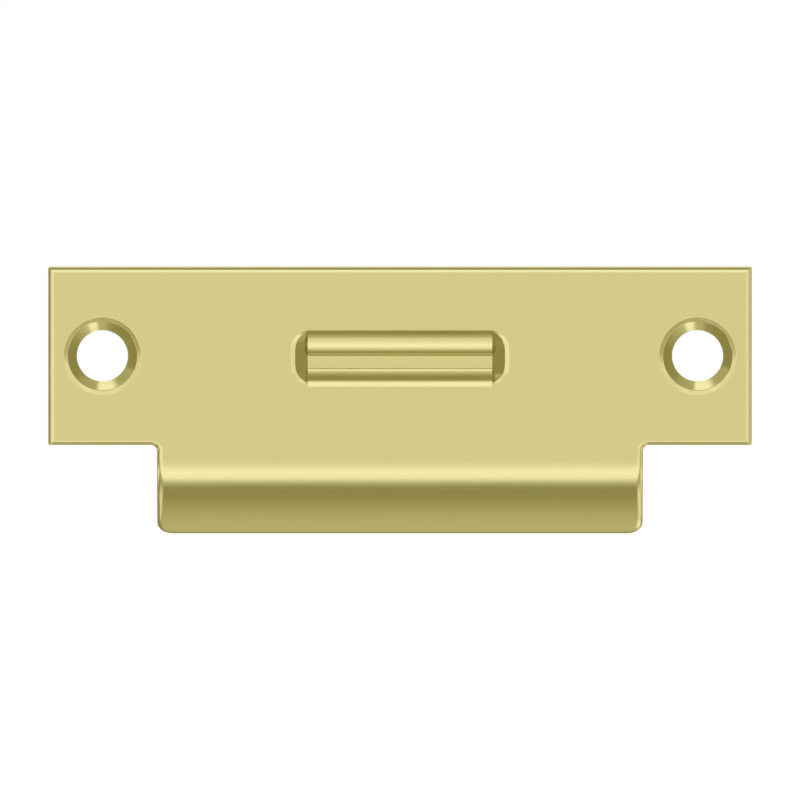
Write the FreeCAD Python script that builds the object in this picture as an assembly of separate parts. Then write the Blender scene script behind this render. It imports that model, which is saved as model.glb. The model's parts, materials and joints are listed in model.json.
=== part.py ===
import FreeCAD, Part
import math
import os

# Door strike plate: one piece of brass sheet with two countersunk screw holes, a pressed roller
# pocket in the middle and a lip on one long side that curls back behind the face.
# Frame: X along the plate, Z up with the lip at the bottom, the face towards -Y.
# The origin is midway between the screw holes, on the flat back of the plate.

# Plate, in millimetres
plate_length = 123.8
plate_height = 31.4
sheet_thickness = 2.5
front_edge_radius = 0.5
face_corner_radius = 0.1

# Lip: a neck goes on flat below the plate, then the sheet curls back in one arc
lip_width = 85.5
neck_length = 2.35
lip_bend_radius = 19.0
lip_bend_angle = 45.0
lip_corner_radius = 2.6
notch_corner_radius = 1.1

# Screw holes: a rounded rim, then a cone down to a round land at the back
hole_inset = 9.5
hole_diameter = 9.0
countersink_diameter = 12.7
countersink_angle = 100.0
countersink_rim_radius = 1.0

# Roller pocket, from the top down: a short slope that rolls over to a round land, a tight nose,
# a flat floor, and a long roll that leads in from the face at the bottom
pocket_length = 32.3
pocket_depth = 1.45
top_slope_angle = 19.0
top_slope_run = 0.5
top_roll_radius = 1.8
land_crest = 3.33
land_depth = 0.62
land_radius = 9.5
land_edge_angle = 15.0
nose_radius = 2.1
floor_width = 1.95
lead_in_radius = 5.7
lead_in_meeting_angle = 4.0
end_run = 2.2
end_height = 9.4

# How far the cutting tools stand clear of the faces, and how near counts as the same place
tool_clearance = 1.0
match_tolerance = 1e-6

# The plate's corners leave a small round on the face, inside the rounded edge
plate_corner_radius = front_edge_radius + face_corner_radius


def vector(x, y, z):
    return FreeCAD.Vector(x, y, z)


def front_y(depth):
    """The Y of a point that lies a depth below the face."""
    return depth - sheet_thickness


def same(a, b):
    return math.isclose(a, b, abs_tol=match_tolerance)


def line_between(start, end):
    return Part.LineSegment(start, end).toShape()


def arc_along(place, start, end):
    """The arc that a point follows while its angle goes from start to end."""
    return Part.Arc(place(start), place((start + end) / 2), place(end)).toShape()


def lip_point(radius, angle):
    """A point of the lip's left end, at an angle in degrees from where the curl starts."""
    axis_y = lip_bend_radius - sheet_thickness
    axis_z = -plate_height / 2 - neck_length
    turn = math.radians(angle)
    return vector(-lip_width / 2, axis_y - radius * math.cos(turn), axis_z - radius * math.sin(turn))


def lip_front(angle):
    return lip_point(lip_bend_radius, angle)


def lip_back(angle):
    return lip_point(lip_bend_radius - sheet_thickness, angle)


def flat_blank():
    """The T-shaped flat of the sheet: the plate, and the neck down to where the curl starts."""
    half_length = plate_length / 2
    half_height = plate_height / 2
    right_side = [
        (half_length, half_height),
        (half_length, -half_height),
        (lip_width / 2, -half_height),
        (lip_width / 2, -half_height - neck_length),
    ]
    left_side = [(-x, z) for x, z in reversed(right_side)]
    corners = [vector(x, front_y(0), z) for x, z in right_side + left_side]
    outline = Part.makePolygon(corners + corners[:1])
    return Part.Face(outline).extrude(vector(0, sheet_thickness, 0))


def curled_lip():
    """The band of sheet that curls back from the neck, one arc of even thickness."""
    section = [
        arc_along(lip_front, 0, lip_bend_angle),
        line_between(lip_front(lip_bend_angle), lip_back(lip_bend_angle)),
        arc_along(lip_back, lip_bend_angle, 0),
        line_between(lip_back(0), lip_front(0)),
    ]
    return Part.Face(Part.Wire(section)).extrude(vector(lip_width, 0, 0))


def edges_through(shape, x, front, back):
    """The edges at +x and -x that go through the sheet from one point of its section to another."""

    def lies_at(vertex, spot):
        here = vertex.Point
        return same(abs(here.x), x) and same(here.y, spot.y) and same(here.z, spot.z)

    found = []
    for edge in shape.Edges:
        ends = sorted(edge.Vertexes, key=lambda vertex: vertex.Point.y)
        if lies_at(ends[0], front) and lies_at(ends[-1], back):
            found.append(edge)
    return found


def plan_rounded(sheet):
    """The sheet with the corners of its outline rounded, the lip's own corners the most."""
    top = plate_height / 2
    half_length = plate_length / 2
    half_lip = lip_width / 2

    def straight_through(z):
        return vector(0, front_y(0), z), vector(0, 0, z)

    corners = [
        (plate_corner_radius, half_length, straight_through(top)),
        (plate_corner_radius, half_length, straight_through(-top)),
        (notch_corner_radius, half_lip, straight_through(-top)),
        (lip_corner_radius, half_lip, (lip_front(lip_bend_angle), lip_back(lip_bend_angle))),
    ]
    for radius, x, ends in corners:
        sheet = sheet.makeFillet(radius, edges_through(sheet, x, *ends))
    return sheet


def front_rounded(sheet):
    """The sheet with the edge of its face rounded all the way round the outline."""

    def on_face(face):
        if isinstance(face.Surface, Part.Plane):
            return same(face.CenterOfMass.y, front_y(0))
        return isinstance(face.Surface, Part.Cylinder) and same(face.Surface.Radius, lip_bend_radius)

    edges = [edge for face in sheet.Faces if on_face(face) for edge in face.OuterWire.Edges]
    rim = [edge for edge in edges if sum(edge.isSame(other) for other in edges) == 1]
    return sheet.makeFillet(front_edge_radius, rim)


def screw_hole(x):
    """What a screw hole takes away: a cone from the face down to a round hole."""
    half_angle = math.radians(countersink_angle / 2)
    cone_depth = (countersink_diameter - hole_diameter) / 2 / math.tan(half_angle)
    into_sheet = vector(0, 1, 0)
    cone = Part.makeCone(
        countersink_diameter / 2 + tool_clearance * math.tan(half_angle),
        hole_diameter / 2,
        cone_depth + tool_clearance,
        vector(x, front_y(-tool_clearance), 0),
        into_sheet,
    )
    bore = Part.makeCylinder(
        hole_diameter / 2,
        sheet_thickness + tool_clearance,
        vector(x, front_y(0), 0),
        into_sheet,
    )
    return cone.fuse(bore)


def with_screw_holes(sheet):
    """The sheet with a countersunk hole near each end, and the sharp rim of each one rounded."""
    from_middle = plate_length / 2 - hole_inset
    drilled = sheet.cut([screw_hole(-from_middle), screw_hole(from_middle)])
    circles = [edge for edge in drilled.Edges if isinstance(edge.Curve, Part.Circle)]
    rims = [edge for edge in circles if same(edge.Curve.Radius, countersink_diameter / 2)]
    return drilled.makeFillet(countersink_rim_radius, rims)


def turned_by(start, depth, radius):
    """The angle that a roll reaches while it sinks by a depth, from the angle that it starts at."""
    return math.acos(math.cos(start) - depth / radius)


def roll_from(z, depth, radius, start, way):
    """A roll that starts at a point of the section and goes up (1) or down (-1) as its angle grows."""

    def place(turn):
        run = radius * (math.sin(turn) - math.sin(start))
        fall = radius * (math.cos(start) - math.cos(turn))
        return vector(-pocket_length / 2, front_y(depth + fall), z + way * run)

    return place


def pocket_middle():
    """The straight run of the pocket: its section, from the top down, carried along the plate."""
    slope = math.radians(top_slope_angle)
    slope_fall = top_slope_run * math.tan(slope)
    top_end = turned_by(slope, land_depth - slope_fall, top_roll_radius)
    top_roll_run = top_roll_radius * (math.sin(top_end) - math.sin(slope))
    top_roll = roll_from(land_crest + top_roll_run, slope_fall, top_roll_radius, slope, -1)

    land_edge = math.radians(land_edge_angle)
    land = roll_from(land_crest, land_depth, land_radius, 0, -1)
    nose_top = land(land_edge)
    nose_depth = nose_top.y - front_y(0)
    nose = roll_from(nose_top.z, nose_depth, nose_radius, land_edge, -1)
    nose_end = turned_by(land_edge, pocket_depth - nose_depth, nose_radius)

    meeting = math.radians(lead_in_meeting_angle)
    lead_in_start = turned_by(meeting, pocket_depth, lead_in_radius)
    lead_in_run = lead_in_radius * (math.sin(lead_in_start) - math.sin(meeting))
    floor_top = nose(nose_end)
    floor_bottom = floor_top - vector(0, 0, floor_width)
    lead_in = roll_from(floor_bottom.z - lead_in_run, 0, lead_in_radius, meeting, 1)

    top_mouth = top_roll(slope) + vector(0, -slope_fall, top_slope_run)
    bottom_mouth = lead_in(meeting)
    clear = vector(0, -tool_clearance, 0)
    section = [
        line_between(top_mouth + clear, top_mouth),
        line_between(top_mouth, top_roll(slope)),
        arc_along(top_roll, slope, top_end),
        arc_along(land, 0, land_edge),
        arc_along(nose, land_edge, nose_end),
        line_between(floor_top, floor_bottom),
        arc_along(lead_in, lead_in_start, meeting),
        line_between(bottom_mouth, bottom_mouth + clear),
        line_between(bottom_mouth + clear, top_mouth + clear),
    ]
    return Part.Face(Part.Wire(section)).extrude(vector(pocket_length, 0, 0))


def pocket_end(side):
    """One end of the pocket: an arch, carried outwards and up until it leaves the face."""
    x = side * pocket_length / 2
    top = vector(x, front_y(0), end_height / 2)
    middle = vector(x, front_y(pocket_depth), 0)
    bottom = vector(x, front_y(0), -end_height / 2)
    arch = Part.Wire([Part.Arc(top, middle, bottom).toShape(), line_between(bottom, top)])
    return Part.Face(arch).extrude(vector(side * end_run, -pocket_depth, 0))


def roller_pocket():
    """The whole form that is pressed into the face, from just above the face to the floor."""
    form = pocket_middle().multiFuse([pocket_end(-1), pocket_end(1)])
    below_cap = Part.makeBox(
        plate_length,
        pocket_depth + tool_clearance,
        plate_height,
        vector(-plate_length / 2, front_y(-tool_clearance), -plate_height / 2),
    )
    return form.common(below_cap)


def strike_plate():
    """The finished piece: the sheet is formed and drilled, then the pocket is pressed through it."""
    sheet = flat_blank().fuse(curled_lip()).removeSplitter()
    sheet = with_screw_holes(front_rounded(plan_rounded(sheet)))
    pocket = roller_pocket()
    bulge = pocket.translated(vector(0, sheet_thickness, 0))
    return sheet.fuse(bulge).cut(pocket)


os.makedirs("parts", exist_ok=True)
plate = strike_plate()
plate.exportStep("parts/strike_plate.step")
box = plate.optimalBoundingBox()
print("solids", len(plate.Solids), "valid", plate.isValid(), "volume", round(plate.Volume, 2))
print("size", round(box.XLength, 2), round(box.YLength, 2), round(box.ZLength, 2))
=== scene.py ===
# %% [markdown]
# # A door strike plate in polished brass
# The plate is one piece of brass sheet: a flat T with two countersunk screw holes, a pocket pressed
# into its face for a latch roller, and a lip that curls back along the bottom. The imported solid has
# this form already, but polished metal shows every facet of a plain mesh. So this lesson works the
# same form out again as fine surfaces, gives it a finish, and builds the light that metal needs.

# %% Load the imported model
import json

import bpy
import numpy as np
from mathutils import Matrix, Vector
from mathutils.geometry import delaunay_2d_cdt


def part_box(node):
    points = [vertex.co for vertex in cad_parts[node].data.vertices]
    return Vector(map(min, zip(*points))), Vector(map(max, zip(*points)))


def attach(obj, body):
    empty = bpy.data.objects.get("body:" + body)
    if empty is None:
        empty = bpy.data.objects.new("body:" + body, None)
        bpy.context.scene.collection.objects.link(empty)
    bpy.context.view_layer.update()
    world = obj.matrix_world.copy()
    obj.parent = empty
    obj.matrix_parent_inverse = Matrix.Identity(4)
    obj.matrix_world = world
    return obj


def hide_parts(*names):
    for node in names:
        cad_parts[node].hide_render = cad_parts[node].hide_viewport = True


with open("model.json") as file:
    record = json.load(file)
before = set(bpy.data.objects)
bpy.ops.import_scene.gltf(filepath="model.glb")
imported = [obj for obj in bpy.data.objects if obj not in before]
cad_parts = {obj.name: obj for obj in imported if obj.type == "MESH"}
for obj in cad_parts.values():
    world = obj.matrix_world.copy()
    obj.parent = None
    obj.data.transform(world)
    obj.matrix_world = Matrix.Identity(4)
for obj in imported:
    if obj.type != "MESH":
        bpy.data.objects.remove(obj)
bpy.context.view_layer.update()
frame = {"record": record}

NODE = "strike_plate"

# %% [markdown]
# ## Sizes
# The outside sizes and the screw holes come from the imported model, so the new surfaces land on the
# old ones. What the box can't tell, such as the lip's curl, is a named size in millimetres here.

# %% Sizes from the frame and by name
MM = 0.001
low, high = (np.array(corner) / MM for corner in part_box(NODE))
screws = next(mount for mount in frame["record"]["mounts"] if mount["name"] == "screw_holes")
plate_half = (high[0] - low[0]) / 2
plate_top = high[2]
sheet = -low[1]
hole_x = screws["dims"]["spacing_x_mm"] / 2
hole_radius = screws["dims"]["hole_r_mm"]
edge_inset = 1.25
low_edge_inset = 0.7
edge_drop = 0.35
long_edge_drop = 0.5
back_edge_break = 0.15
plate_corner_radius = 0.3
notch_corner_radius = 1.1
lip_width = 85.5
lip_half = lip_width / 2
lip_corner_radius = 2.6
neck_length = 2.35
bend_radius = 19.0
bend_degrees = 45.0
bend_line = -plate_top - neck_length
lip_end = bend_line - bend_radius * np.radians(bend_degrees)
print(f"plate {2 * plate_half:.1f} mm long, sheet {sheet:.2f} mm, lip ends {lip_end:.2f} mm down the sheet")

# %% [markdown]
# ## Paths made of runs and arcs
# Outlines and edge profiles are the same kind of thing: straight runs joined by arcs. A curve object
# could hold them, but a small class that answers "where am I after walking this far" lets numpy ask
# for thousands of points at once, and it gives the direction that the outline faces as well.


# %% The track
class Track:
    """A flat path of runs, walked by one number: 2.5 is halfway along the third run.

    A point is the straight way from a run's start to its end, plus radius times its facing direction.
    A straight run has radius 0. An arc starts and ends at its centre, and its facing turns evenly.
    """

    def __init__(self):
        self.runs = []
        self.steps = []

    def line(self, start, end, facing=0.0, steps=1):
        """Adds a straight run from start to end, which faces one way all along."""
        self.runs.append((*start, *end, 0.0, facing, facing))
        self.steps.append(steps)
        return self

    def arc(self, centre, radius, first, last, steps):
        """Adds an arc about a centre, from one facing angle to another in degrees."""
        self.runs.append((*centre, *centre, radius, first, last))
        self.steps.append(steps)
        return self

    def closed_by_mirror(self):
        """The same track and then its mirror image in X, walked back to where it began."""
        both = Track()
        left = [(-c, d, -a, b, r, 180 - g, 180 - f) for a, b, c, d, r, f, g in reversed(self.runs)]
        both.runs = self.runs + left
        both.steps = self.steps + self.steps[::-1]
        return both

    def stops(self):
        """Walking numbers at which every run is cut into its steps."""
        cuts = [run + np.arange(count) / count for run, count in enumerate(self.steps)]
        return np.append(np.concatenate(cuts), len(self.steps))

    def at(self, walk):
        """Points and facing directions for an array of walking numbers."""
        run = np.clip(np.floor(walk).astype(int), 0, len(self.runs) - 1)
        share = walk - run
        ax, ay, bx, by, radius, first, last = np.moveaxis(np.array(self.runs)[run], -1, 0)
        turn = np.radians(first + share * (last - first))
        facing = np.stack([np.cos(turn), np.sin(turn)], -1)
        straight = np.stack([ax + share * (bx - ax), ay + share * (by - ay)], -1)
        return straight + radius[..., None] * facing, facing


# %% [markdown]
# ## The sheet before and after the bend
# The plate is drawn as it was cut, flat, with s measured down the sheet. The press then rolls the
# lower end back. Drawing flat and bending afterwards keeps the thickness even and lets one edge
# profile run all the way round the outline, over the bend and past the lip's corners.

# %% Outline of the cut sheet, and the bend
CORNER_STEPS = 10
LIP_CORNER_STEPS = 18
BEND_STEPS = 48
LIP_COLUMNS = 6

inner_corner = plate_half - plate_corner_radius
notch_x = lip_half + notch_corner_radius
notch_s = -plate_top - notch_corner_radius
tip_x = lip_half - lip_corner_radius
tip_s = lip_end + lip_corner_radius
corner_s = plate_top - plate_corner_radius

right_side = Track()
right_side.line((0, plate_top), (inner_corner, plate_top), 90)
right_side.arc((inner_corner, corner_s), plate_corner_radius, 90, 0, CORNER_STEPS)
right_side.line((plate_half, corner_s), (plate_half, -corner_s), 0)
right_side.arc((inner_corner, -corner_s), plate_corner_radius, 0, -90, CORNER_STEPS)
right_side.line((inner_corner, -plate_top), (notch_x, -plate_top), -90)
right_side.arc((notch_x, notch_s), -notch_corner_radius, -90, 0, CORNER_STEPS)
right_side.line((lip_half, notch_s), (lip_half, bend_line), 0)
BEND_RUN = len(right_side.runs)
right_side.line((lip_half, bend_line), (lip_half, tip_s), 0, BEND_STEPS)
right_side.arc((tip_x, tip_s), lip_corner_radius, 0, -90, LIP_CORNER_STEPS)
LIP_LAST = len(right_side.runs)
right_side.line((tip_x, lip_end), (0, lip_end), -90, LIP_COLUMNS)
outline = right_side.closed_by_mirror()


def bent(x, s, depth):
    """A point of the flat sheet after the press: above the bend line it stays, and below it turns.

    The turn is the length past the bend line over the bend radius, about an axis behind the sheet.
    """
    turn = np.maximum(bend_line - s, 0) / bend_radius
    reach = bend_radius - depth
    y = bend_radius - sheet - reach * np.cos(turn)
    z = np.maximum(s, bend_line) - reach * np.sin(turn)
    return np.stack(np.broadcast_arrays(x, y, z), -1)


print("outline runs", len(outline.runs), "stops", len(outline.stops()))

# %% [markdown]
# ## Surfaces on a grid
# Every piece of skin is a function of two numbers. The grid gives each cell its own four corners, and
# each corner its own normal, measured on the surface just inside the cell. That keeps creases crisp
# and rounds smooth with no modifier. Shared corners are welded afterwards.

# %% Grid surfaces and flat fills
NUDGE = 0.002
TINY = 1e-14
WELD = 1e-5
FILL_MERGE = 1e-7
WHOLE_HULL = 0


def surface(place, across, along, flip=False):
    """Triangles and corner normals of place(u, v) over two lists of stops.

    The normal is the cross product of the two ways the surface runs, by small differences. Where
    the surface doesn't run at all, as at a collapsed corner, the triangle's own normal is taken.
    """
    u0, v0 = np.meshgrid(across[:-1], along[:-1], indexing="ij")
    u1, v1 = np.meshgrid(across[1:], along[1:], indexing="ij")
    u = np.stack([u0, u1, u1, u0], -1)
    v = np.stack([v0, v0, v1, v1], -1)
    du = (NUDGE * (u1 - u0))[..., None]
    dv = (NUDGE * (v1 - v0))[..., None]
    inside_u = u + 2 * du * np.array([1, -1, -1, 1])
    inside_v = v + 2 * dv * np.array([1, 1, -1, -1])
    run_u = place(inside_u + du, inside_v) - place(inside_u - du, inside_v)
    run_v = place(inside_u, inside_v + dv) - place(inside_u, inside_v - dv)
    halves = np.array([[0, 2, 1], [0, 3, 2]] if flip else [[0, 1, 2], [0, 2, 3]])
    points = place(u, v)[..., halves, :].reshape(-1, 3, 3)
    normals = (np.cross(run_u, run_v) * (-1 if flip else 1))[..., halves, :].reshape(-1, 3, 3)
    flat = np.cross(points[:, 1] - points[:, 0], points[:, 2] - points[:, 0])[:, None]
    length = np.linalg.norm(normals, axis=-1, keepdims=True)
    normals = np.where(length > TINY, normals, flat)
    return points, normals / np.maximum(np.linalg.norm(normals, axis=-1, keepdims=True), TINY)


def flat_fill(y, facing, loops):
    """The flat face at y between an outer loop and the loops of its holes, as triangles.

    Points that a collapsed corner repeats are dropped. The rest are joined into triangles, and those
    whose middle sees an odd number of borders to its right are kept: even means outside, or in a hole.
    """
    loops = [loop[np.linalg.norm(loop - np.roll(loop, 1, 0), axis=1) > WELD] for loop in loops]
    ends = np.concatenate(loops)
    rings = np.split(np.arange(len(ends)), np.cumsum([len(loop) for loop in loops])[:-1])
    edges = np.concatenate([np.stack([ring, np.roll(ring, -1)], -1) for ring in rings])
    spots = [Vector(end) for end in ends.tolist()]
    joined = delaunay_2d_cdt(spots, edges.tolist(), [], WHOLE_HULL, FILL_MERGE, False)
    corners = ends[np.array(joined[2])]
    middle = corners.mean(1)[:, None]
    first, last = ends[edges[:, 0]], ends[edges[:, 1]]
    spans = (first[:, 1] > middle[..., 1]) != (last[:, 1] > middle[..., 1])
    rise = np.where(last[:, 1] == first[:, 1], 1.0, last[:, 1] - first[:, 1])
    meets = first[:, 0] + (middle[..., 1] - first[:, 1]) * (last[:, 0] - first[:, 0]) / rise
    corners = corners[(spans & (meets > middle[..., 0])).sum(1) % 2 == 1]
    points = np.insert(corners, 1, y, axis=-1)
    wound = np.cross(points[:, 1] - points[:, 0], points[:, 2] - points[:, 0])[:, 1] * facing
    points[wound < 0] = points[wound < 0][:, ::-1]
    return points, np.broadcast_to(np.array([0.0, facing, 0.0]), points.shape)


skin = []

# %% [markdown]
# ## The edge
# The face meets the edge in a soft round, wider than it is deep, as tumbling leaves it. Along the
# plate's long edges the round is deeper, and along the two that face down it is tight as well. The
# wall goes straight through, and the back has only a small break. That profile is carried round.

# %% Edge band
ROUND_STEPS = 16
BREAK_STEPS = 4

edge_profile = Track()
edge_profile.arc((edge_drop, edge_drop), edge_drop, -90, -180, ROUND_STEPS)
edge_profile.line((0, edge_drop), (0, sheet - back_edge_break))
edge_profile.arc((back_edge_break, sheet - back_edge_break), back_edge_break, 180, 90, BREAK_STEPS)


def on_sheet(walk, inset, low_inset):
    """The outline moved inwards on the flat sheet: by the low inset where the plate's edge faces down.

    Where an inset is more than a plate corner's radius, the two sides stop where they meet.
    """
    point, facing = outline.at(walk)
    low_edge = (point[..., 1] > bend_line) & (facing[..., 1] < 0)
    x = point[..., 0] - inset * facing[..., 0]
    s = point[..., 1] - np.where(low_edge, low_inset, inset) * facing[..., 1]
    x = np.clip(x, inset - plate_half, plate_half - inset)
    lowest = np.where(np.abs(x) > notch_x, low_inset - plate_top, lip_end)
    return np.stack([x, np.clip(s, lowest, plate_top - inset)], -1)


def edge_band(walk, profile):
    """The profile's inset and depth at each place of the outline, then the bend.

    The front round is a quarter circle of the drop, stretched inwards to the full inset. Its depth
    grows to the long drop with the square of how far the plate's edge faces up or down.
    """
    inset, depth = np.moveaxis(edge_profile.at(profile)[0], -1, 0)
    point, facing = outline.at(walk)
    front = depth <= edge_drop
    side = np.where(front, inset * edge_inset / edge_drop, inset)
    low_side = np.where(front, inset * low_edge_inset / edge_drop, inset)
    drop = edge_drop + (long_edge_drop - edge_drop) * facing[..., 1]**2 * (point[..., 1] > bend_line)
    x, s = np.moveaxis(on_sheet(walk, side, low_side), -1, 0)
    return bent(x, s, np.where(front, depth * drop / edge_drop, depth))


skin.append(surface(edge_band, outline.stops(), edge_profile.stops()))
print("edge band triangles", len(skin[-1][0]))

# %% [markdown]
# ## The lip
# The front and back of the lip are ruled sheets: at each place down the curl, a straight line from
# the left edge to the right. The rows share their ends with the edge band, so the skin closes.

# %% Lip front and back
lip_walk = outline.stops()
lip_walk = lip_walk[(lip_walk >= BEND_RUN) & (lip_walk <= LIP_LAST)]
columns = np.linspace(-1, 1, 2 * LIP_COLUMNS + 1)


def lip_sheet(inset, low_inset, depth):
    """A function of the share across and the walk down the lip, at one depth below the face."""

    def place(share, walk):
        half_width, s = np.moveaxis(on_sheet(walk, inset, low_inset), -1, 0)
        return bent(share * half_width, s, depth)

    return place


skin.append(surface(lip_sheet(edge_inset, low_edge_inset, 0.0), columns, lip_walk, flip=True))
skin.append(surface(lip_sheet(back_edge_break, back_edge_break, sheet), columns, lip_walk))
print("lip triangles", len(skin[-1][0]) * 2)

# %% [markdown]
# ## The screw holes
# A countersink is a cone down to a short round land. The polishing wheel has worn its rim to a narrow
# slope, eased on both sides. The half profile is turned about the hole's axis.

# %% Screw holes
HOLE_STEPS = 96
countersink_half_angle = 50.0
rim_slope = 14.0
rim_outside = 6.88
rim_inside = 6.14
rim_ease = 0.5
cone_ease = 0.25

cone_slope = 90 - countersink_half_angle
rim_turn, cone_turn = np.radians(rim_slope), np.radians(cone_slope)
ease_end = np.array([rim_outside - rim_ease * np.sin(rim_turn), rim_ease * (1 - np.cos(rim_turn))])
rim_run = ease_end[0] - rim_inside
slope_foot = ease_end + rim_run * np.array([-1, np.tan(rim_turn)])
cone_centre = slope_foot + cone_ease * np.array([np.sin(rim_turn), np.cos(rim_turn)])
cone_top = cone_centre - cone_ease * np.array([np.sin(cone_turn), np.cos(cone_turn)])
cone_depth = cone_top[1] + (cone_top[0] - hole_radius) * np.tan(cone_turn)
land_end = sheet - back_edge_break

hole_profile = Track()
hole_profile.arc((rim_outside, rim_ease), rim_ease, -90, -90 - rim_slope, BREAK_STEPS)
hole_profile.line(ease_end, slope_foot)
hole_profile.arc(cone_centre, cone_ease, -90 - rim_slope, -90 - cone_slope, BREAK_STEPS)
hole_profile.line(cone_top, (hole_radius, cone_depth))
hole_profile.line((hole_radius, cone_depth), (hole_radius, land_end))
hole_profile.arc((hole_radius + back_edge_break, land_end), back_edge_break, 180, 90, BREAK_STEPS)
round_stops = np.linspace(0, 2 * np.pi, HOLE_STEPS + 1)


def screw_hole(centre):
    """The hole's radius and depth, turned about an axis through the sheet."""

    def place(angle, profile):
        radius, depth = np.moveaxis(hole_profile.at(profile)[0], -1, 0)
        return np.stack([centre + radius * np.cos(angle), depth - sheet, radius * np.sin(angle)], -1)

    return place


for side in (-1, 1):
    skin.append(surface(screw_hole(side * hole_x), round_stops, hole_profile.stops()))
print("screw hole triangles", len(skin[-1][0]) * 2)

# %% [markdown]
# ## The roller pocket
# The press sinks a pocket into the face, and the same form stands out at the back. It could be
# sculpted, but as a formula it stays clean under polish. It is a height field: how deep the face lies
# at each x and z. Down the middle it is one section carried along the plate: a short slope and a roll
# at the top, a round land with a tight nose, a flat floor and a long lead-in roll.

# %% Sizes of the pocket's section
pocket_half = 16.25
pocket_depth = 1.45
top_slope = 19.0
top_run = 0.57
top_radius = 1.8
land_crest = 3.21
land_depth = 0.62
land_radius = 9.5
land_edge = 15.0
nose_radius = 1.5
floor_width = 2.12
lead_in_radius = 5.7
lead_in_meeting = 5.0


# %% The section
def arc_fall(z, centre, radius):
    """How far a circle's flank lies from its crest, at a distance along the chord."""
    return radius - np.sqrt(np.maximum(radius**2 - (z - centre)**2, 0))


def roll_run(depth, radius, meeting):
    """How far a roll goes along the face while it sinks to a depth, from the angle it meets the face at."""
    start = np.radians(meeting)
    return radius * (np.sin(np.arccos(np.cos(start) - depth / radius)) - np.sin(start))


def roll_depth(z, mouth, radius, meeting, side):
    """The depth of a roll that leaves the face at its mouth, with its crest to one side of that."""
    start = np.radians(meeting)
    return arc_fall(z, mouth + side * radius * np.sin(start), radius) - radius * (1 - np.cos(start))


edge_turn = np.radians(land_edge)
slope_rise = np.tan(np.radians(top_slope))
slope_end = land_crest + roll_run(land_depth - top_run * slope_rise, top_radius, top_slope)
top_mouth = slope_end + top_run
nose_top = land_crest - land_radius * np.sin(edge_turn)
nose_centre = nose_top + nose_radius * np.sin(edge_turn)
nose_crest = land_depth + (land_radius - nose_radius) * (1 - np.cos(edge_turn))
floor_top = nose_centre - np.sqrt(nose_radius**2 - (nose_radius - pocket_depth + nose_crest)**2)
floor_bottom = floor_top - floor_width
bottom_mouth = floor_bottom - roll_run(pocket_depth, lead_in_radius, lead_in_meeting)


def middle_depth(z):
    """The pocket's section: slope, top roll, land, nose, then the floor with the lead-in below it."""
    starts = [top_mouth, slope_end, land_crest, nose_top, floor_top, bottom_mouth]
    parts = [
        0 * z,
        (top_mouth - z) * slope_rise,
        top_run * slope_rise + roll_depth(z, slope_end, top_radius, top_slope, 1),
        land_depth + arc_fall(z, land_crest, land_radius),
        nose_crest + arc_fall(z, nose_centre, nose_radius),
        np.minimum(pocket_depth, roll_depth(z, bottom_mouth, lead_in_radius, lead_in_meeting, -1)),
    ]
    return np.select([z > start for start in starts], parts, 0.0)


print(f"pocket section from z {bottom_mouth:.2f} to {top_mouth:.2f} mm, floor {pocket_depth:.2f} mm deep")

# %% [markdown]
# ## The ends of the pocket
# Each end is a full arch that climbs outwards until it leaves the face. Wear has laid a gently sloped
# rim around it. Wall and rim are two formulas, and the deeper counts, as if one stamp followed another.

# %% The ends
end_run = 2.38
end_middle = -0.28
end_half_height = 4.6
end_fullness = 4.0
end_rim_depth = 0.45
end_rim_ease = 0.1
end_rim_slope = 0.2
end_crease = 0.01
step_width = 0.02


def end_depth(past, z):
    """An arch that rises evenly with the distance past the middle, up to a worn rim.

    The arch is 1 less a power of z, and goes on below 0 past its tips. The rim is a gentle slope, eased
    where it leaves the face, and the deeper of the two counts, softened a little where they cross.
    """
    arch = 1 - np.abs((z - end_middle) / end_half_height)**end_fullness
    wall = pocket_depth * (arch - past / end_run)
    sunk = np.maximum(wall + end_rim_depth, 0)
    start = np.minimum(sunk, end_rim_ease)
    rim = end_rim_slope * (start**2 / (2 * end_rim_ease) + sunk - start)
    deeper = (wall + rim + np.sqrt((wall - rim)**2 + end_crease**2)) / 2
    return np.where(wall > -end_rim_depth, deeper, 0.0)


def pocket_fall(x, z):
    """How deep the face lies: the middle section, and past a sharp step the ends."""
    past = np.abs(x) - pocket_half
    share = np.clip(past / step_width, 0, 1)
    return middle_depth(z) * (1 - share) + end_depth(np.maximum(past, 0), z) * share


print(f"pocket {2 * (pocket_half + end_run):.1f} mm long with its ends")

# %% [markdown]
# ## The pocket on a grid
# One grid serves the face and the back. It has a row on every crease of the section, so no triangle
# cuts across one, and most of its columns are at the ends, where the form changes along the plate.

# %% Pocket front and back
POCKET_ROWS = 150
END_COLUMNS = 80
MIDDLE_COLUMNS = 4
pocket_margin = 1.2
pocket_low = bottom_mouth - pocket_margin
pocket_high = top_mouth + pocket_margin
pocket_reach = pocket_half + end_run + 2 * pocket_margin
end_stops = np.append(pocket_half, np.linspace(pocket_half + step_width, pocket_reach, END_COLUMNS))
middle_stops = np.linspace(-end_stops[0], end_stops[0], MIDDLE_COLUMNS + 1)
pocket_x = np.concatenate([-end_stops[::-1], middle_stops[1:-1], end_stops])
creases = [bottom_mouth, floor_bottom, floor_top, nose_top, land_crest, slope_end, top_mouth]
pocket_z = np.unique(np.concatenate([np.linspace(pocket_low, pocket_high, POCKET_ROWS), creases]))
pocket_z = pocket_z[np.append(True, np.diff(pocket_z) > WELD)]


def pocket_skin(base):
    """The height field over the pocket's rectangle, from a flat face at base."""

    def place(x, z):
        inside = (np.abs(x) < pocket_reach) & (z > pocket_low) & (z < pocket_high)
        return np.stack([x, base + np.where(inside, pocket_fall(x, z), 0.0), z], -1)

    return place


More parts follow.
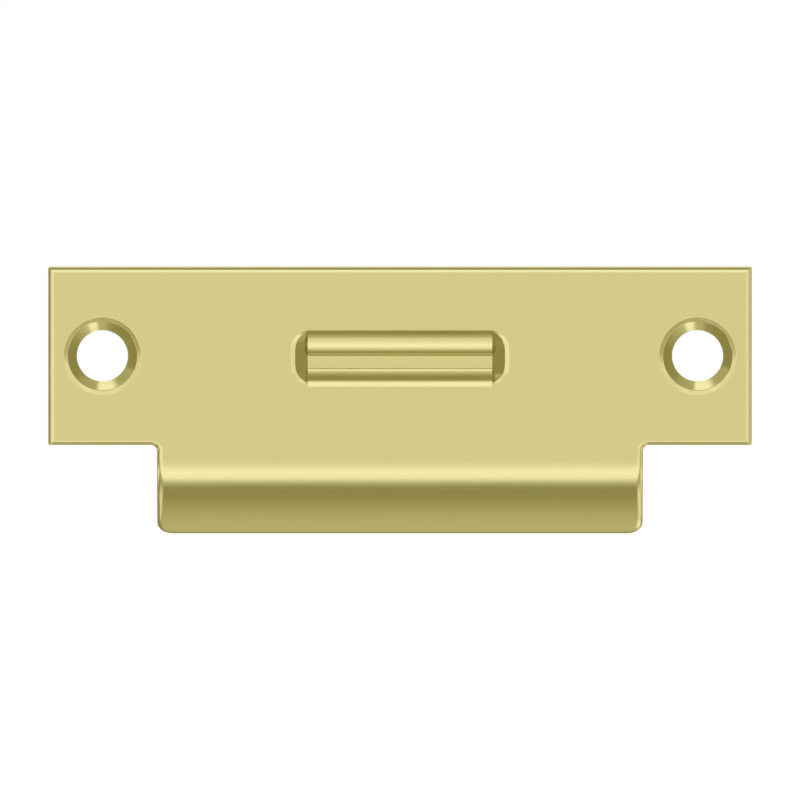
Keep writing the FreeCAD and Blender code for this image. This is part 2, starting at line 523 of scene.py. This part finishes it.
skin.append(surface(pocket_skin(-sheet), pocket_x, pocket_z))
skin.append(surface(pocket_skin(0.0), pocket_x, pocket_z, flip=True))
print("pocket triangles", len(skin[-1][0]) * 2)

# %% [markdown]
# ## The flats
# What is left of the face and the back is flat, with holes in it. A Delaunay fill closes a flat of
# any outline in one call, and it uses exactly the border points that the other surfaces have.


# %% Flat face and flat back
def circle(centre, radius):
    """The border of a screw hole, as the turned profile meets the flat."""
    angles = round_stops[:-1]
    return np.stack([centre + radius * np.cos(angles), radius * np.sin(angles)], -1)


def sheet_border(inset, low_inset):
    """The outline above the bend, closed along the bend line by the lip's own columns."""
    walk = outline.stops()[:-1]
    right = walk[walk <= BEND_RUN]
    left = walk[walk >= len(outline.runs) - BEND_RUN]
    along_bend = columns[-2:0:-1] * (lip_half - inset)
    bend_row = np.stack([along_bend, np.full_like(along_bend, bend_line)], -1)
    right_edge, left_edge = (on_sheet(side, inset, low_inset) for side in (right, left))
    return np.concatenate([right_edge, bend_row, left_edge])


pocket_border = np.concatenate([
    np.stack([pocket_x[:-1], np.full(len(pocket_x) - 1, pocket_low)], -1),
    np.stack([np.full(len(pocket_z) - 1, pocket_reach), pocket_z[:-1]], -1),
    np.stack([pocket_x[:0:-1], np.full(len(pocket_x) - 1, pocket_high)], -1),
    np.stack([np.full(len(pocket_z) - 1, -pocket_reach), pocket_z[:0:-1]], -1),
])

face_border = sheet_border(edge_inset, low_edge_inset)
back_border = sheet_border(back_edge_break, back_edge_break)
for y, facing, border, hole in ((-sheet, -1.0, face_border, rim_outside),
                                (0.0, 1.0, back_border, hole_radius + back_edge_break)):
    holes = [circle(side * hole_x, hole) for side in (-1, 1)]
    skin.append(flat_fill(y, facing, [border, *holes, pocket_border]))
print("flat triangles", len(skin[-1][0]) + len(skin[-2][0]))

# %% [markdown]
# ## One closed skin
# Corners that lie at the same place become one vertex, so the skin is closed, while every corner
# keeps the normal that was measured on its own surface.


# %% Weld the skin into a mesh
def welded_mesh(name, patches):
    """One mesh from patches of loose triangles: equal places are welded, and empty triangles dropped."""
    points = np.concatenate([patch[0] for patch in patches])
    normals = np.concatenate([patch[1] for patch in patches])
    keys = np.round(points.reshape(-1, 3) / WELD).astype(np.int64)
    _, first, index = np.unique(keys, axis=0, return_index=True, return_inverse=True)
    index = index.reshape(-1, 3)
    whole = (index[:, 0] != index[:, 1]) & (index[:, 1] != index[:, 2]) & (index[:, 2] != index[:, 0])
    index, normals = index[whole], normals[whole]
    mesh = bpy.data.meshes.new(name)
    mesh.vertices.add(len(first))
    mesh.vertices.foreach_set("co", (points.reshape(-1, 3)[first] * MM).astype(np.float32).ravel())
    mesh.loops.add(index.size)
    mesh.loops.foreach_set("vertex_index", index.astype(np.int32).ravel())
    mesh.polygons.add(len(index))
    mesh.polygons.foreach_set("loop_start", np.arange(0, index.size, 3, dtype=np.int32))
    mesh.polygons.foreach_set("use_smooth", np.ones(len(index), dtype=bool))
    mesh.update(calc_edges=True)
    mesh.normals_split_custom_set(normals.reshape(-1, 3).tolist())
    return mesh


plate_mesh = welded_mesh("plate_skin", skin)
plate = bpy.data.objects.new("plate_skin", plate_mesh)
bpy.context.scene.collection.objects.link(plate)
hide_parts(NODE)
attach(plate, "root")
print("plate", len(plate_mesh.vertices), "vertices", len(plate_mesh.polygons), "triangles")

# %% [markdown]
# ## Shader maths
# A material is a sum of small formulas. Written as nodes they are hard to read, so one small class
# wraps a socket: plus, minus and times on it add Math nodes, and any other node comes from one call.


# %% The socket class
class Socket:
    """A value in a node tree. Arithmetic on it adds Math nodes to the same tree."""

    def __init__(self, tree, output):
        self.tree = tree
        self.output = output

    @classmethod
    def node(cls, tree, kind, settings=None, out=0, **inputs):
        """Adds a node: its settings first, then a value or a link for each named input."""
        made = tree.nodes.new(kind)
        for name, value in (settings or {}).items():
            setattr(made, name, value)
        for name, value in inputs.items():
            key = int(name[1:]) if name[1:].isdigit() else name.replace("_", " ")
            cls.feed(tree, made.inputs[key], value)
        return cls(tree, made.outputs[out])

    @staticmethod
    def feed(tree, socket, value):
        """Links another socket to an input, or sets a plain value there."""
        if isinstance(value, Socket):
            tree.links.new(value.output, socket)
        else:
            socket.default_value = value

    def _maths(self, operation, first, second):
        """One Math node on two values or sockets."""
        return Socket.node(self.tree, "ShaderNodeMath", {"operation": operation}, i0=first, i1=second)

    def __add__(self, other):
        return self._maths("ADD", self, other)

    __radd__ = __add__

    def __sub__(self, other):
        return self._maths("SUBTRACT", self, other)

    def __rsub__(self, other):
        return self._maths("SUBTRACT", other, self)

    def __mul__(self, other):
        return self._maths("MULTIPLY", self, other)

    __rmul__ = __mul__


def new_material(name):
    """A material and its node tree, still empty."""
    material = bpy.data.materials.new(name)
    material.use_nodes = True
    material.node_tree.nodes.clear()
    return material, material.node_tree


def finish_surface(tree, shader):
    """Sends a shader to the material's output."""
    end = tree.nodes.new("ShaderNodeOutputMaterial")
    tree.links.new(shader.output, end.inputs["Surface"])


# %% [markdown]
# ## Polished brass
# The metal is pale yellow and bright, buffed lengthwise on a wheel. Its colour drifts a little where
# the alloy and the lacquer vary, and the buffing leaves fine lines along the plate, which show as a
# slight change of gloss and a trace of relief. All of it is read in object coordinates, so it stays put.

# %% Brass
brass_light = (0.645, 0.578, 0.246, 1.0)
brass_deep = (0.627, 0.560, 0.234, 1.0)
brass_roughness = 0.17
roughness_spread = 0.05
cloud_scale = 45.0
cloud_detail = 3.0
buff_stretch = (60.0, 2500.0, 2500.0)
buff_detail = 2.0
buff_height = 0.0000015
noise_middle = 0.5

brass, tree = new_material("polished_brass")
place = Socket.node(tree, "ShaderNodeTexCoord", out="Object")
cloud = Socket.node(tree, "ShaderNodeTexNoise", Vector=place, Scale=cloud_scale, Detail=cloud_detail)
stretched = Socket.node(tree, "ShaderNodeMapping", Vector=place, Scale=buff_stretch)
buffing = Socket.node(tree, "ShaderNodeTexNoise", Vector=stretched, Scale=1.0, Detail=buff_detail)
# A Mix node has sockets for every kind of data: for colours, inputs 6 and 7 and output 2.
tint = Socket.node(tree, "ShaderNodeMix", {"data_type": "RGBA"}, out=2,
                   i0=cloud, i6=brass_light, i7=brass_deep)
roughness = brass_roughness + (buffing - noise_middle) * roughness_spread
relief = Socket.node(tree, "ShaderNodeBump", Height=buffing, Strength=1.0, Distance=buff_height)
shader = Socket.node(tree, "ShaderNodeBsdfPrincipled", Base_Color=tint, Metallic=1.0,
                     Roughness=roughness, Normal=relief)
finish_surface(tree, shader)
plate_mesh.materials.append(brass)
print("brass nodes", len(tree.nodes))

# %% [markdown]
# ## The studio
# Polished metal has no shade of its own: it shows the room. A white world of strength 1 makes brass
# look exactly as its colour is written. The form is then drawn by cards around the lens: pale strips
# close to it give the bright lines, and brown cards further out give the dark bands. They could be
# lamps, but a card with soft sides that the camera doesn't see is easier to place.

# %% A card around the lens
CARD_STEPS = 48
nearest_card = 7.2
card_gap = 0.025
cards = []


def eased(share):
    """A smooth step: 0 before a share of 0, 1 after a share of 1."""
    share = np.clip(share, 0, 1)
    return share * share * (3 - 2 * share)


def ring_card(name, lean, clock, soft, tone):
    """A patch of a ring about the lens axis, over a range of lean angles and a range of clock angles.

    A direction leans from the lens axis by one angle, towards a clock angle counted from straight
    down. The card fades out over the soft angles at its four sides: near, far, first and last. Its
    tone is one colour, or a list of colours by lean. Each card stands a little behind the one before.
    """
    near, far, first, last = *lean, *clock
    lean, turn = np.meshgrid(np.linspace(near, far, CARD_STEPS), np.linspace(first, last, CARD_STEPS),
                             indexing="ij")
    leaning, turning = np.radians(lean), np.radians(turn)
    distance = nearest_card + card_gap * len(cards)
    points = np.stack([np.sin(leaning) * np.sin(turning), -np.cos(leaning),
                       -np.sin(leaning) * np.cos(turning)], -1) * distance
    fade = eased((lean - near) / soft[0]) * eased((far - lean) / soft[1])
    fade = fade * eased((turn - first) / soft[2]) * eased((last - turn) / soft[3])
    angles, colours = zip(*(tone if isinstance(tone, list) else [(near, tone)]))
    colour = np.stack([np.interp(lean, angles, channel) for channel in zip(*colours)], -1)
    grid = np.arange(CARD_STEPS * CARD_STEPS).reshape(CARD_STEPS, CARD_STEPS)
    faces = np.stack([grid[:-1, :-1], grid[1:, :-1], grid[1:, 1:], grid[:-1, 1:]], -1).reshape(-1, 4)
    mesh = bpy.data.meshes.new(name)
    mesh.from_pydata(points.reshape(-1, 3), [], faces)
    fades = mesh.attributes.new("fade", "FLOAT", "POINT")
    fades.data.foreach_set("value", fade.astype(np.float32).ravel())
    padded = np.insert(colour.reshape(-1, 3), 3, 1.0, axis=-1)
    shades = mesh.attributes.new("tone", "FLOAT_COLOR", "POINT")
    shades.data.foreach_set("color", padded.astype(np.float32).ravel())
    mesh.materials.append(card_material)
    card = bpy.data.objects.new(name, mesh)
    bpy.context.scene.collection.objects.link(card)
    card.visible_camera = False
    card.visible_diffuse = False
    card.visible_shadow = False
    cards.append(card)


card_material, tree = new_material("studio_card")
tone = Socket.node(tree, "ShaderNodeAttribute", {"attribute_name": "tone"}, out="Color")
fade = Socket.node(tree, "ShaderNodeAttribute", {"attribute_name": "fade"}, out="Fac")
glow = Socket.node(tree, "ShaderNodeEmission", Color=tone, Strength=1.0)
clear = Socket.node(tree, "ShaderNodeBsdfTransparent")
finish_surface(tree, Socket.node(tree, "ShaderNodeMixShader", i0=fade, i1=clear, i2=glow))
print("card nodes", len(tree.nodes))

# %% [markdown]
# ## The set of cards
# The cards go from the nearest to the furthest, and a nearer one hides what is behind it. Angles are
# in degrees: a face that tilts by some angle reflects what leans by twice that. So strips at a small
# lean light the soft edges, and cards at a large lean darken the lip, the cones and the pocket's walls.

# %% The cards from front to back
pale = (1.50, 1.53, 1.80)
bright = (1.36, 1.38, 1.55)
light = (1.20, 1.21, 1.30)
umber = (0.71, 0.70, 0.585)
dim = (0.60, 0.59, 0.46)
earth = (0.50, 0.49, 0.34)
brown = (0.40, 0.385, 0.22)
below = [(36, (0.36, 0.345, 0.185)), (44, (0.41, 0.395, 0.235)), (53, (0.52, 0.51, 0.36)),
         (61, (0.625, 0.61, 0.475)), (71, (0.685, 0.675, 0.545)), (85, (0.73, 0.72, 0.60)),
         (100, umber), (120, brown)]
ring_card("strip_below", lean=(4, 26), clock=(-75, 75), soft=(12, 5, 25, 25), tone=pale)
ring_card("strip_above", lean=(5, 31), clock=(140, 220), soft=(10, 4, 14, 14), tone=pale)
ring_card("glow_right", lean=(18, 33), clock=(92, 165), soft=(5, 5, 14, 14), tone=light)
ring_card("glow_left", lean=(18, 33), clock=(-165, -88), soft=(5, 5, 14, 14), tone=light)
ring_card("strip_right", lean=(5, 26), clock=(50, 130), soft=(8, 5, 20, 20), tone=light)
ring_card("strip_left", lean=(5, 26), clock=(-130, -50), soft=(8, 5, 20, 20), tone=bright)
ring_card("wedge_above", lean=(68, 94), clock=(170, 214), soft=(6, 8, 6, 16), tone=pale)
ring_card("wedge_below", lean=(70, 94), clock=(6, 25.5), soft=(6, 8, 3, 3), tone=pale)
ring_card("gleam_right", lean=(32, 62), clock=(58, 82), soft=(5, 8, 7, 7), tone=pale)
ring_card("gleam_left", lean=(32, 62), clock=(-82, -58), soft=(5, 8, 7, 7), tone=pale)
ring_card("edge_right", lean=(33, 76), clock=(12, 36), soft=(6, 6, 6, 7), tone=light)
ring_card("edge_left", lean=(33, 76), clock=(-30, -12), soft=(6, 6, 8, 6), tone=light)
ring_card("bar_above", lean=(28.5, 50), clock=(158, 202), soft=(4, 10, 8, 8), tone=brown)
ring_card("belt_left", lean=(53, 165), clock=(-122, -6), soft=(7, 12, 12, 12), tone=brown)
ring_card("card_below", lean=(24, 170), clock=(-20, 20), soft=(6, 15, 11, 11), tone=below)
ring_card("card_above", lean=(31, 76), clock=(124, 236), soft=(5, 30, 14, 14), tone=brown)
ring_card("card_right", lean=(46, 76), clock=(52, 130), soft=(10, 10, 16, 12), tone=brown)
ring_card("card_left", lean=(30, 76), clock=(-130, -52), soft=(7, 10, 12, 16), tone=brown)
ring_card("corner_right", lean=(22, 38), clock=(12, 98), soft=(5, 6, 10, 12), tone=earth)
ring_card("corner_left", lean=(22, 38), clock=(-92, -12), soft=(5, 6, 12, 10), tone=earth)
ring_card("tip_left", lean=(30, 62), clock=(-80, -34), soft=(6, 8, 14, 10), tone=brown)
ring_card("tip_belt", lean=(84, 116), clock=(24, 75), soft=(5, 10, 10, 14), tone=brown)
ring_card("belt_right", lean=(64, 112), clock=(-5, 156), soft=(10, 14, 85, 26), tone=brown)
ring_card("belt_above", lean=(66, 128), clock=(134, 250), soft=(10, 12, 14, 14), tone=dim)
print("cards", len(cards))

# %% [markdown]
# ## World, floor and camera
# The world is plain white, so the background is white and the light is even. The floor is a pale
# disc well below. The camera stands square on, a long way off with a long lens, as in the picture.

# %% World and floor
white = (1.0, 1.0, 1.0, 1.0)
floor_colour = (0.92, 0.92, 0.91, 1.0)
floor_roughness = 0.8
floor_drop = 9.0
floor_radius = 24.0
FLOOR_STEPS = 64

scene = bpy.context.scene
scene.view_settings.view_transform = "Standard"
world = bpy.data.worlds.new("studio")
world.use_nodes = True
world.node_tree.nodes["Background"].inputs["Color"].default_value = white
world.node_tree.nodes["Background"].inputs["Strength"].default_value = 1.0
scene.world = world

around = np.linspace(0, 2 * np.pi, FLOOR_STEPS, endpoint=False)
disc = np.stack([floor_radius * np.cos(around), floor_radius * np.sin(around), 0 * around - floor_drop], -1)
floor_mesh = bpy.data.meshes.new("floor")
floor_mesh.from_pydata(disc, [], [list(range(FLOOR_STEPS))])
floor_paint, tree = new_material("pale_floor")
finish_surface(tree, Socket.node(tree, "ShaderNodeBsdfPrincipled", Base_Color=floor_colour,
                                 Roughness=floor_roughness))
floor_mesh.materials.append(floor_paint)
floor = bpy.data.objects.new("floor", floor_mesh)
scene.collection.objects.link(floor)
print(f"floor {floor_drop:.0f} m below the plate")

# %% Camera
frame_width = 140.80
lens = 870.0
lens_data = bpy.data.cameras.new("camera")
lens_data.lens = lens
lens_data.clip_start = 0.01
lens_data.clip_end = 20.0
camera = bpy.data.objects.new("camera", lens_data)
stand_off = lens * frame_width / lens_data.sensor_width
camera.location = (0.0, (low[1] - stand_off) * MM, (low[2] + high[2]) / 2 * MM)
camera.rotation_euler = (np.pi / 2, 0.0, 0.0)
scene.collection.objects.link(camera)
scene.camera = camera
print(f"camera {stand_off:.0f} mm from the face")
